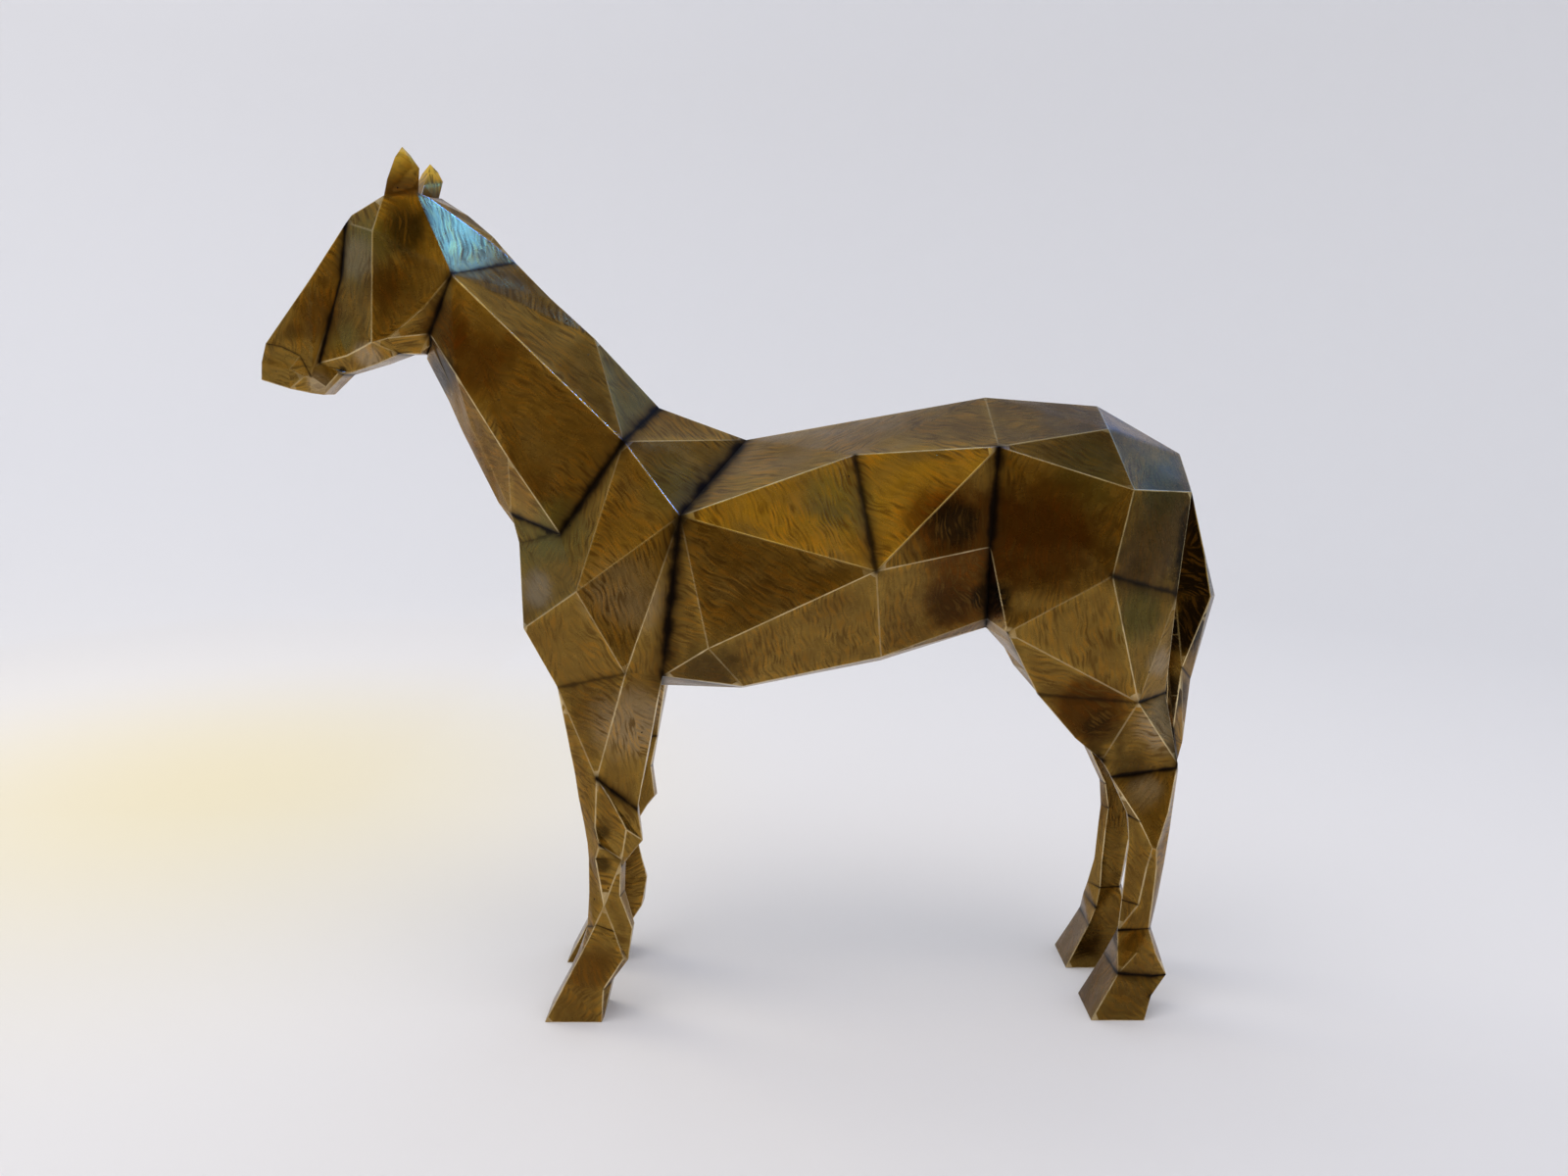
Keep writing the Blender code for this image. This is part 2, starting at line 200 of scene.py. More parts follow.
# Painted light: the middle of a pool of warm light painted on the paper, and how far that spreads.
WARM_GLOW_MIDDLE = (-0.36, 0.25, 0.0)
WARM_GLOW_REACH = 0.40

HEART = Vector((0.0, 0.0, 0.2))
POLL = Vector((-0.110, -0.010, 0.325))
# Cards that the bronze mirrors: what they face, azimuth and elevation in degrees, distance, width,
# height, colour and strength.
CARDS = {
    "dark_room": (HEART, 4, 0, 1.0, 1.55, 0.44, (0.36, 0.27, 0.08), 1.0),
    "gold_lamp": (HEART, -4, 28, 0.98, 0.52, 0.26, (1.08, 0.85, 0.08), 1.0),
    "gold_wall": (HEART, -42, 13, 0.97, 0.40, 0.26, (0.55, 0.40, 0.05), 1.0),
    "dim_ceiling": (HEART, 30, 52, 1.02, 1.7, 0.66, (0.32, 0.28, 0.11), 1.0),
    "blue_window": (POLL, 48, 37, 0.5, 0.085, 0.08, (0.025, 0.142, 1.0), 88.0),
    "dim_corner": (HEART, 90, 58, 1.0, 0.55, 0.34, (0.34, 0.31, 0.15), 1.0),
    "right_wall": (HEART, 72, 0, 1.0, 0.60, 0.5, (0.34, 0.35, 0.31), 1.0),
    "dark_door": (HEART, 104, 0, 0.96, 0.34, 0.34, (0.14, 0.13, 0.04), 1.0),
    "blue_wall": (HEART, 118, 38, 1.0, 0.8, 0.5, (0.38, 0.64, 1.5), 1.0),
    "cool_back": (HEART, 158, 44, 1.05, 0.5, 0.4, (0.34, 0.36, 0.42), 1.0),
    "left_wall": (HEART, -88, 6, 1.0, 0.9, 0.50, (0.52, 0.57, 0.70), 1.0),
}
# Cards that lie on the paper: middle, width, depth and colour.
FLAGS = {
    "dark_table": ((0.10, -0.76), 2.0, 0.60, (0.22, 0.16, 0.06)),
    "brown_table": ((-0.55, 0.50), 0.6, 0.6, (0.46, 0.33, 0.15)),
}
# Lamps: what they face, azimuth and elevation in degrees, distance, size, colour and watts.
LAMPS = {
    "key": (HEART, -60, 62, 1.3, 0.9, (1.0, 0.90, 0.80), 3.6),
    "fill": (HEART, 55, 60, 1.3, 0.9, (1.0, 0.86, 0.72), 2.6),
    "wall_wash": (Vector((-0.8, 1.4, 0.6)), -30, 50, 1.3, 1.0, (1.0, 0.98, 1.0), 4.6),
    "left_glow": (Vector((-0.38, 0.16, 0.0)), -118, 62, 0.62, 0.35, (1.0, 0.78, 0.30), 0.6),
}
AIR_TINT = (0.80, 0.86, 1.0)
AIR_STRENGTH = 0.94


class SkinSizes(bpy.types.PropertyGroup):
    ridge_width: bpy.props.FloatProperty(
        name="Ridge width",
        description="Width of the rubbed flat along a ridge",
        default=0.00048,
        unit="LENGTH",
    )
    least_ridge: bpy.props.FloatProperty(
        name="Least ridge",
        description="The smallest fold whose ridge is rubbed down",
        default=math.radians(3.9),
        subtype="ANGLE",
    )
    least_rim: bpy.props.FloatProperty(
        name="Least rim",
        description="The smallest fold of an ear that shows as a rim",
        default=math.radians(75),
        subtype="ANGLE",
    )
    least_leg_ridge: bpy.props.FloatProperty(
        name="Least leg ridge",
        description="The smallest fold of a leg whose ridge is rubbed down",
        default=math.radians(24),
        subtype="ANGLE",
    )
    least_leg_crease: bpy.props.FloatProperty(
        name="Least leg crease",
        description="The smallest crease of a leg that holds dark patina",
        default=math.radians(12),
        subtype="ANGLE",
    )
    least_crease: bpy.props.FloatProperty(
        name="Least crease",
        description="The smallest crease that holds dark patina",
        default=math.radians(8),
        subtype="ANGLE",
    )
    least_fold: bpy.props.FloatProperty(
        name="Least fold",
        description="Faces that meet at less than this are one facet",
        default=math.radians(0.5),
        subtype="ANGLE",
    )
    crease_reach: bpy.props.FloatProperty(
        name="Crease reach",
        description="How far the dark patina spreads from the deepest creases",
        default=0.0095,
        unit="LENGTH",
    )
    cell: bpy.props.FloatProperty(
        name="Cell",
        description="Longest side of a triangle of the finished skin",
        default=0.0034,
        unit="LENGTH",
    )
    hollow_depth: bpy.props.FloatProperty(
        name="Hollow depth",
        description="How far the filed facets swell and sink",
        default=0.0011,
        unit="LENGTH",
    )
    hollow_size: bpy.props.FloatProperty(
        name="Hollow size",
        description="Distance from one hollow to the next",
        default=0.022,
        unit="LENGTH",
    )
    hollow_margin: bpy.props.FloatProperty(
        name="Hollow margin",
        description="How far from a fold a facet starts to swell or sink",
        default=0.005,
        unit="LENGTH",
    )


class BronzeFinish(bpy.types.PropertyGroup):
    brown: bpy.props.FloatVectorProperty(
        name="Brown patina", description="Patina over most of the skin",
        default=(0.178, 0.099, 0.019), size=3, subtype="COLOR",
    )
    # Also the colour of the gold spots, which are painted warm highlights.
    gold: bpy.props.FloatVectorProperty(
        name="Gold", description="Metal where the patina is rubbed thin",
        default=(0.250, 0.146, 0.028), size=3, subtype="COLOR",
    )
    dark: bpy.props.FloatVectorProperty(
        name="Dark patina", description="Patina where it lies thick",
        default=(0.105, 0.050, 0.008), size=3, subtype="COLOR",
    )
    red: bpy.props.FloatVectorProperty(
        name="Red patina", description="Patina where it has pooled",
        default=(0.090, 0.034, 0.003), size=3, subtype="COLOR",
    )
    ear_gold: bpy.props.FloatVectorProperty(
        name="Ear gold", description="Metal at the tips of the ears",
        default=(0.74, 0.45, 0.05), size=3, subtype="COLOR",
    )
    olive: bpy.props.FloatVectorProperty(
        name="Olive patina", description="Patina where it has turned green",
        default=(0.150, 0.118, 0.030), size=3, subtype="COLOR",
    )
    # Painted reflection: the khaki tone of facets that mirror the light paper and walls.
    pale_reflection: bpy.props.FloatVectorProperty(
        name="Painted reflection", description="Painted reflection of the light paper and walls on the facets that face them",
        default=(0.290, 0.210, 0.115), size=3, subtype="COLOR",
    )
    # Patina pooled black, and also painted shade on the tail and in the creases.
    soot_and_shade: bpy.props.FloatVectorProperty(
        name="Dark pools and painted shade", description="Patina pooled black, and painted shade on the tail and in the creases",
        default=(0.012, 0.007, 0.002), size=3, subtype="COLOR",
    )
    bright: bpy.props.FloatVectorProperty(
        name="Bare metal", description="Metal rubbed bare along the ridges",
        default=(0.78, 0.62, 0.34), size=3, subtype="COLOR",
    )
    shade: bpy.props.FloatVectorProperty(
        name="Crease shade", description="Patina that spreads from the creases",
        default=(0.034, 0.016, 0.004), size=3, subtype="COLOR",
    )
    black: bpy.props.FloatVectorProperty(
        name="Crease black", description="Patina left in the bottom of the creases",
        default=(0.008, 0.005, 0.003), size=3, subtype="COLOR",
    )
    roughness: bpy.props.FloatProperty(
        name="Roughness", description="Roughness of the patinated facets",
        default=0.27, min=0, max=1, subtype="FACTOR",
    )
    lacquer: bpy.props.FloatProperty(
        name="Lacquer", description="How much wax shows over the patina",
        default=0.05, min=0, max=1, subtype="FACTOR",
    )
    stroke_pitch: bpy.props.FloatProperty(
        name="Stroke pitch", description="Distance from one chased stroke to the next",
        default=0.00115, unit="LENGTH",
    )
    stroke_length: bpy.props.FloatProperty(
        name="Stroke length", description="Length of a chased stroke",
        default=0.0075, unit="LENGTH",
    )
    stroke_depth: bpy.props.FloatProperty(
        name="Stroke depth", description="Depth of a chased stroke",
        default=0.00004, unit="LENGTH",
    )


class StudioSet(bpy.types.PropertyGroup):
    paper: bpy.props.FloatVectorProperty(
        name="Paper", description="Colour of the paper sweep",
        default=(0.79, 0.777, 0.765), size=3, subtype="COLOR",
    )
    # Painted light: the colour of the pool of warm light painted on the paper.
    painted_warm_glow: bpy.props.FloatVectorProperty(
        name="Painted warm glow", description="Colour of the painted pool of warm light on the paper",
        default=(0.80, 0.735, 0.54), size=3, subtype="COLOR",
    )
    sweep_floor: bpy.props.FloatProperty(
        name="Sweep floor", description="Radius of the flat floor",
        default=1.0, unit="LENGTH",
    )
    sweep_bend: bpy.props.FloatProperty(
        name="Sweep bend", description="Radius of the bend from floor to wall",
        default=0.8, unit="LENGTH",
    )
    sweep_wall: bpy.props.FloatProperty(
        name="Sweep wall", description="Height of the wall above the bend",
        default=0.5, unit="LENGTH",
    )
    camera_place: bpy.props.FloatVectorProperty(
        name="Camera place", description="Where the camera stands",
        default=(0.0144, -0.485, 0.262), size=3, subtype="TRANSLATION", unit="LENGTH",
    )
    camera_tilt: bpy.props.FloatProperty(
        name="Camera tilt", description="How far the camera looks down",
        default=math.radians(9.93), subtype="ANGLE",
    )
    camera_lens: bpy.props.FloatProperty(
        name="Camera lens", description="Focal length on a 36 mm frame",
        default=27, unit="CAMERA",
    )


def deselect_all():
    for thing in bpy.context.selected_objects:
        thing.select_set(False)


def make_active(piece):
    deselect_all()
    piece.select_set(True)
    bpy.context.view_layer.objects.active = piece


def edit(piece):
    make_active(piece)
    bpy.ops.object.mode_set(mode="EDIT")
    bpy.ops.mesh.select_mode(type="EDGE")


def leave_edit():
    bpy.ops.object.mode_set(mode="OBJECT")


def select_edges(piece, wanted):
    """Selects the edges that wanted() picks, and says how many there are."""
    shell = bmesh.from_edit_mesh(piece.data)
    count = 0
    for face in shell.faces:
        face.select_set(False)
    for edge in shell.edges:
        chosen = bool(wanted(edge))
        edge.select_set(chosen)
        count += chosen
    bmesh.update_edit_mesh(piece.data)
    return count


def apply_modifier(piece, kind, **settings):
    """Adds a modifier with these settings and applies it."""
    make_active(piece)
    modifier = piece.modifiers.new(kind.lower(), kind)
    for name, value in settings.items():
        setattr(modifier, name, value)
    bpy.ops.object.modifier_apply(modifier=modifier.name)


def fold(edge):
    """The fold at an edge: above zero on a ridge, below zero in a crease."""
    if len(edge.link_faces) != 2:
        return 0.0
    return edge.calc_face_angle_signed()


def listed(edge, spots):
    """Whether the middle of an edge is one of the places, seen from the side."""
    middle = (edge.verts[0].co + edge.verts[1].co) / 2
    return any(math.dist((middle.x, middle.z), spot) < PLACE_REACH for spot in spots.values())


def on_ear(edge):
    """Whether an edge is wholly on an ear."""
    return min(corner.co.z for corner in edge.verts) > EAR_FOOT


def on_leg(edge):
    """Whether an edge is wholly on a lower leg."""
    return max(corner.co.z for corner in edge.verts) < LEG_TOP


def level(edge):
    """How level an edge is: nought for an upright one and one for a level one."""
    run = edge.verts[1].co - edge.verts[0].co
    return 1 - abs(run.z) / run.length


def is_ridge(edge, sizes):
    """A fold that shows as a line. On the ears only the rims do, and on the legs the sharp ones."""
    if on_leg(edge):
        least = sizes.least_leg_ridge
    elif on_ear(edge):
        least = sizes.least_rim
    else:
        least = sizes.least_ridge
    return fold(edge) > least and not listed(edge, FILED)


def is_crease(edge, sizes):
    """A fold that holds dark patina. On a leg only the ones that cross it do."""
    least = 0 if listed(edge, CRACKED) else sizes.least_crease
    if on_leg(edge):
        least = sizes.least_leg_crease if level(edge) > LEAST_LEVEL else math.pi
    return fold(edge) < -least and not on_ear(edge) and not listed(edge, FILED)


def write_attribute(mesh, name, kind, domain, values):
    attribute = mesh.attributes.new(name, kind, domain)
    field = "vector" if kind == "FLOAT_VECTOR" else "value"
    attribute.data.foreach_set(field, np.asarray(values, np.float32).ravel())


def nearest(points, lines):
    """For each point, how far the nearest line is in units of that line's reach, and its weight."""
    starts = np.array([line[0] for line in lines])
    runs = np.array([line[1] for line in lines]) - starts
    reaches = np.array([line[2] for line in lines])
    weights = np.array([line[3] for line in lines])
    lengths = (runs * runs).sum(-1)
    gaps = np.empty(len(points))
    found = np.empty(len(points))
    for first in range(0, len(points), POINTS_AT_ONCE):
        lot = slice(first, first + POINTS_AT_ONCE)
        away = points[lot, None] - starts
        along = np.clip((away * runs).sum(-1) / lengths, 0, 1)
        gap = np.linalg.norm(away - along[..., None] * runs, axis=-1) / reaches
        best = gap.argmin(1)
        gaps[lot] = gap[np.arange(len(best)), best]
        found[lot] = weights[best]
    return gaps, found


def merged_casting():
    """A copy of the casting whose flat facets are single faces."""
    piece = bpy.data.objects.new("horse_skin", CASTING.data.copy())
    bpy.context.scene.collection.objects.link(piece)
    piece.data.materials.clear()
    edit(piece)
    bpy.ops.mesh.select_all(action="SELECT")
    bpy.ops.mesh.remove_doubles(threshold=MERGE_GAP)
    bpy.ops.mesh.select_all(action="SELECT")
    bpy.ops.mesh.dissolve_limited(angle_limit=bpy.context.scene.horse_skin.least_fold)
    bpy.ops.mesh.select_all(action="SELECT")
    bpy.ops.mesh.normals_make_consistent(inside=False)
    leave_edit()
    return piece


def fold_lines(piece, sizes):
    """The ridges and creases of the casting as lines, with each one's reach and weight."""
    shell = bmesh.new()
    shell.from_mesh(piece.data)
    ridges = []
    creases = []
    for edge in shell.edges:
        angle = fold(edge)
        ends = [tuple(corner.co) for corner in edge.verts]
        if is_ridge(edge, sizes):
            weight = min(1.0, 0.12 + angle / BARE_RIDGE_FOLD)
            weight *= min(1.0, 0.15 + edge.calc_length() / BARE_RIDGE_LENGTH)
            ridges.append((*ends, 1.0, weight))
        elif is_crease(edge, sizes):
            depth = min(1.0, -angle / BLACK_CREASE_FOLD)
            if listed(edge, CRACKED):
                depth = CRACK_DEPTH
            reach = min(sizes.crease_reach, 0.18 * edge.calc_length() + 0.0006)
            creases.append((*ends, reach * (0.3 + 0.7 * depth), depth))
    shell.free()
    return ridges, creases


def mark_strokes(piece):
    """Gives each facet the way its strokes run, and a tone of its own."""
    strokes = []
    across = []
    tones = []
    for facet in piece.data.polygons:
        seed = facet.center * FACET_NOISE
        turn = noise.noise(seed) * MOST_STROKE_TURN
        lead = Vector((0.35, 0, -1)) if abs(facet.normal.z) < 0.9 else Vector((1, 0, 0))
        lead = (lead - facet.normal * lead.dot(facet.normal)).normalized()
        lead = Matrix.Rotation(turn, 3, facet.normal) @ lead
        strokes.append(lead)
        across.append(facet.normal.cross(lead))
        tones.append(0.5 + 0.5 * noise.noise(seed + Vector((9, 4, 7))))
    write_attribute(piece.data, "stroke", "FLOAT_VECTOR", "FACE", strokes)
    write_attribute(piece.data, "across", "FLOAT_VECTOR", "FACE", across)
    write_attribute(piece.data, "tone", "FLOAT", "FACE", tones)


def rub_ridges(piece, sizes):
    """Cuts a narrow rounded flat along every ridge and keeps the creases sharp."""
    edit(piece)
    select_edges(piece, lambda edge: is_crease(edge, sizes))
    bpy.ops.mesh.mark_sharp()
    select_edges(piece, lambda edge: is_ridge(edge, sizes))
    bpy.ops.mesh.bevel(
        offset_type="WIDTH",
        offset=sizes.ridge_width,
        segments=2,
        profile=0.5,
        affect="EDGES",
        clamp_overlap=True,
        loop_slide=True,
    )
    leave_edit()


def divide(piece, longest):
    """Splits the long edges until no triangle of the skin has a side much over the longest."""
    edit(piece)
    bpy.ops.mesh.select_all(action="SELECT")
    bpy.ops.mesh.quads_convert_to_tris(quad_method="SHORTEST_DIAGONAL", ngon_method="BEAUTY")
    for _ in range(MOST_DIVISIONS):
        if not select_edges(piece, lambda edge: edge.calc_length() > longest):
            break
        bpy.ops.mesh.subdivide(number_cuts=1)
        bpy.ops.mesh.select_all(action="SELECT")
        bpy.ops.mesh.quads_convert_to_tris(
            quad_method="SHORTEST_DIAGONAL", ngon_method="BEAUTY"
        )
    leave_edit()


def corners_of(mesh):
    points = np.empty(len(mesh.vertices) * 3)
    mesh.vertices.foreach_get("co", points)
    return points.reshape(-1, 3)


def hollow_facets(piece, sizes, margins):
    """Lets the middles of the facets swell and sink a little, as a file leaves them."""
    group = piece.vertex_groups.new(name="facet middles")
    sole = BOX_LOW.z + SOLE_SKIN
    for corner, margin in zip(piece.data.vertices, margins):
        share = min(1.0, margin / sizes.hollow_margin)
        if corner.co.z > sole:
            group.add([corner.index], share * share * (3 - 2 * share), "REPLACE")
    cloud = bpy.data.textures.new("facet hollows", "CLOUDS")
    cloud.noise_scale = sizes.hollow_size
    cloud.noise_depth = 1
    apply_modifier(
        piece,
        "DISPLACE",
        texture=cloud,
        texture_coords="LOCAL",
        direction="NORMAL",
        mid_level=0.5,
        strength=sizes.hollow_depth,
        vertex_group=group.name,
    )
    piece.vertex_groups.clear()


def smooth_skin(piece):
    """Shades the skin so that the broad faces stay flat and the creases sharp."""
    make_active(piece)
    bpy.ops.object.shade_smooth(keep_sharp_edges=True)
    apply_modifier(piece, "WEIGHTED_NORMAL", mode="FACE_AREA", weight=50, keep_sharp=True)


class Wire:
    """A number that varies over a surface. Python's operators on it add Math nodes."""

    def __init__(self, shop, socket):
        self.shop = shop
        self.socket = socket

    def _math(self, operation, *values):
        made = self.shop.node(
            "ShaderNodeMath", {"operation": operation}, dict(enumerate(values))
        )
        return Wire(self.shop, made.outputs[0])

    def __add__(self, other):
        return self._math("ADD", self, other)

    def __radd__(self, other):
        return self._math("ADD", other, self)

    def __sub__(self, other):
        return self._math("SUBTRACT", self, other)

    def __rsub__(self, other):
        return self._math("SUBTRACT", other, self)

    def __mul__(self, other):
        return self._math("MULTIPLY", self, other)

    def __truediv__(self, other):
        return self._math("DIVIDE", self, other)

    def __pow__(self, other):
        return self._math("POWER", self, other)


class Workshop:
    """The nodes of one material or world."""

    def __init__(self, tree):
        self.tree = tree
        tree.nodes.clear()

    def node(self, kind, settings=None, inputs=None):
        """Adds a node, sets what it is, and then its sockets' values or links."""
        made = self.tree.nodes.new(kind)
        for name, value in (settings or {}).items():
            setattr(made, name, value)
        for name, value in (inputs or {}).items():
            self.feed(made.inputs[name], value)
        return made

    def feed(self, socket, value):
        """Links a Wire or a socket, or sets a plain value."""
        if isinstance(value, Wire):
            value = value.socket
        if isinstance(value, bpy.types.NodeSocket):
            self.tree.links.new(value, socket)
        else:
            socket.default_value = value

    def measure(self, operation, first, second):
        """The number that a Vector Math node makes of two vectors."""
        made = self.node(
            "ShaderNodeVectorMath", {"operation": operation}, {0: first, 1: second}
        )
        return Wire(self, made.outputs["Value"])

    def join(self, x, y, z):
        return self.node("ShaderNodeCombineXYZ", None, {"X": x, "Y": y, "Z": z}).outputs[0]

    def attribute(self, name):
        """A number that is written on the mesh."""
        made = self.node("ShaderNodeAttribute", {"attribute_name": name})
        return Wire(self, made.outputs["Fac"])

    def direction(self, name):
        """A vector that is written on the mesh."""
        made = self.node("ShaderNodeAttribute", {"attribute_name": name})
        return made.outputs["Vector"]

    def noise(self, where, scale, detail=2.0, roughness=0.5):
        made = self.node(
            "ShaderNodeTexNoise",
            {"noise_dimensions": "3D"},
            {"Vector": where, "Scale": scale, "Detail": detail, "Roughness": roughness},
        )
        return Wire(self, made.outputs[0])

    def ease(self, value, start, end):
        """Nought at start, one at end, and smooth between them."""
        made = self.node(
            "ShaderNodeMapRange",
            {"interpolation_type": "SMOOTHSTEP", "clamp": True},
            {"Value": value, "From Min": start, "From Max": end},
        )
        return Wire(self, made.outputs["Result"])

    def blend(self, share, first, second, how="MIX"):
        """Two colours mixed: all of the first at nought, all of the second at one."""
        made = self.node("ShaderNodeMix", {"data_type": "RGBA", "blend_type": how})
        self.feed(made.inputs[0], share)
        self.feed(made.inputs[6], first)
        self.feed(made.inputs[7], second)
        return made.outputs[2]


def colour(value):
    return (*value, 1.0)


def pools(shop, flat, uneven, spots):
    """Where a list's colour is laid on in round spots, as a share from nought to one: pooled
    patina, painted highlights, painted reflection and painted shade.
    """
    total = 0.0
    for along, up, radius, share in spots:
        gap = shop.measure("DISTANCE", flat, (along, 0.0, up)) / radius
        total = total + shop.ease(gap + uneven, POOL_EDGE, POOL_CORE) * share
    return shop.ease(total, 0.0, 1.0)


def bronze_material(finish):
    """Bronze that is chased, patinated and rubbed bright, after what is written on the mesh, with
    some highlights, reflections and shade painted into its colour.
    """
    material = bpy.data.materials.new("patinated_bronze")
    material.use_nodes = True
    shop = Workshop(material.node_tree)
    place = shop.node("ShaderNodeTexCoord").outputs["Object"]
    parts = shop.node("ShaderNodeSeparateXYZ", None, {"Vector": place})
    up = Wire(shop, parts.outputs["Z"])
    flat = shop.join(Wire(shop, parts.outputs["X"]), 0.0, up)
    tone = shop.attribute("tone")
    along = shop.measure("DOT_PRODUCT", place, shop.direction("stroke"))
    over = shop.measure("DOT_PRODUCT", place, shop.direction("across"))

    # Unevenness of several sizes, from broad clouds to grain.
    cloud = shop.noise(place, 34, 3)
    drift = shop.noise(place, 75, 1)
    grain = shop.noise(place, 900, 2)
    mottle = shop.noise(place, 190, 3, 0.6)
    smoke = shop.noise(place, 110, 2)

    # Chased strokes, long one way and narrow the other, stronger in some patches.
    wander = (drift - 0.5) * 0.007
    strokes = shop.noise(
        shop.join(
            along / finish.stroke_length, (over + wander) / finish.stroke_pitch, tone * 60
        ),
        1.0,
        1.2,
    )
    chased = shop.ease(shop.noise(place, 62, 1), 0.36, 0.62) * 0.65 + 0.35

    # Bare metal on the ridges, and patina that spreads from the creases.
    ridge = shop.attribute("ridge_gap")
    rubbed = shop.ease(ridge + (mottle - 0.5) * 0.0005, 0.00052, 0.00014)
    rubbed = rubbed * shop.attribute("ridge_wear") * (shop.ease(smoke, 0.25, 0.6) * 0.5 + 0.5)
    halo = shop.ease(ridge, 0.0040, 0.0004) * 0.22
    gap = shop.attribute("crease_gap") + (mottle - 0.5) * 0.2 + (smoke - 0.5) * 0.5
    depth = shop.attribute("crease_depth")
    crease = shop.ease(gap, 1.0, -0.1) ** 1.3 * depth
    core = shop.ease(gap, 0.34, 0.0) * shop.ease(depth, 0.1, 0.7)

    # A few of the many small cells are pits.
    pit_cell = shop.node(
        "ShaderNodeTexVoronoi", {"feature": "F1"}, {"Vector": place, "Scale": 330}
    )
    pit_pick = shop.measure("DOT_PRODUCT", pit_cell.outputs["Color"], (1.0, 0.0, 0.0))
    pits = shop.ease(Wire(shop, pit_cell.outputs["Distance"]), 0.16, 0.05)
    pits = pits * shop.ease(pit_pick, 0.975, 0.98)

    # The colours, from the patina, the painted highlights, the painted reflection and the painted
    # shade up to the strokes, the ridges and the creases.
    thin = shop.ease(cloud + halo + (mottle - 0.5) * 0.35 + (tone - 0.5) * 0.2, 0.44, 0.80)
    thick = shop.ease(cloud + (mottle - 0.5) * 0.3, 0.46, 0.26) * 0.6
    uneven = (mottle - 0.5) * 0.5 + (cloud - 0.5) * 0.8
    skin = shop.blend(thin, colour(finish.brown), colour(finish.gold))
    skin = shop.blend(thick, skin, colour(finish.dark))
    # Round spots: gold painted highlights, olive and red patina, painted reflection, and dark
    # patina with painted shade.
    for spots, tint in (
        (GOLD_HIGHLIGHT_POOLS, finish.gold),
        (OLIVE_POOLS, finish.olive),
        (RED_POOLS, finish.red),
        (PALE_REFLECTION_POOLS, finish.pale_reflection),
        (DARK_AND_SHADE_POOLS, finish.soot_and_shade),
    ):
        skin = shop.blend(pools(shop, flat, uneven, spots), skin, colour(tint))
    ear = shop.ease(up, EAR_FOOT, EAR_FOOT + 0.002)
    skin = shop.blend(ear * 0.7, skin, colour(finish.red))
    ear_tip = shop.ease(up, EAR_FOOT + 0.004, BOX_HIGH.z)
    skin = shop.blend(ear_tip, skin, colour(finish.ear_gold))
    cut = shop.ease(strokes, 0.50, 0.64) * chased
    skin = shop.blend(cut * 0.62, skin, colour(finish.bright), "OVERLAY")
    furrow = shop.ease(strokes, 0.50, 0.34) * chased
    skin = shop.blend(furrow * 0.8, skin, colour(finish.dark))
    skin = shop.blend(rubbed, skin, colour(finish.bright))
    skin = shop.blend(crease * 0.9, skin, colour(finish.shade))
    skin = shop.blend(core, skin, colour(finish.black))
    skin = shop.blend(pits, skin, colour(finish.black))

    # The surface.
    rough = finish.roughness + (mottle - 0.5) * 0.12 + crease * 0.15 - rubbed * 0.08 + ear * 0.12
    height = strokes * chased * finish.stroke_depth * 2 + grain * 0.000006 - pits * 0.00012
    bump = shop.node(
        "ShaderNodeBump", None, {"Strength": 1.0, "Distance": 1.0, "Height": height}
    )
    metal = shop.node(
        "ShaderNodeBsdfPrincipled",
        None,
        {
            "Base Color": skin,
            "Metallic": 1.0,
            "Roughness": rough,
            "Normal": bump.outputs["Normal"],
            "Coat Weight": (1 - crease) * finish.lacquer,
            "Coat Roughness": 0.28,
        },
    )
    shop.node("ShaderNodeOutputMaterial", None, {"Surface": metal.outputs[0]})
    return material


class HORSE_OT_skin(bpy.types.Operator):
    """Makes the horse's dressed bronze skin from the casting"""

    bl_idname = "horse.skin"
    bl_label = "Bronze skin"

    def execute(self, context):
        sizes = context.scene.horse_skin
        piece = merged_casting()
        ridges, creases = fold_lines(piece, sizes)
        if not ridges or not creases:
            raise RuntimeError("the casting has no ridges or no creases")
        mark_strokes(piece)
        rub_ridges(piece, sizes)
        divide(piece, sizes.cell)
        points = corners_of(piece.data)
        ridge_gap, ridge_wear = nearest(points, ridges)
        crease_gap, crease_depth = nearest(points, creases)
        bare = nearest(points, [(*line[:2], 1.0, 1.0) for line in creases])[0]
        write_attribute(piece.data, "ridge_gap", "FLOAT", "POINT", ridge_gap)
        write_attribute(piece.data, "ridge_wear", "FLOAT", "POINT", ridge_wear)
        write_attribute(piece.data, "crease_gap", "FLOAT", "POINT", crease_gap)
        write_attribute(piece.data, "crease_depth", "FLOAT", "POINT", crease_depth)
        hollow_facets(piece, sizes, np.minimum(ridge_gap, bare))
        smooth_skin(piece)
        piece.data.materials.append(bronze_material(context.scene.horse_finish))
        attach(piece, "root")
        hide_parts("horse")
        deselect_all()
        return {"FINISHED"}


def glow_material(name, tint, strength):
    material = bpy.data.materials.new(name)
    material.use_nodes = True
    shop = Workshop(material.node_tree)
    glow = shop.node("ShaderNodeEmission", None, {"Color": colour(tint), "Strength": strength})
    shop.node("ShaderNodeOutputMaterial", None, {"Surface": glow.outputs[0]})
    return material


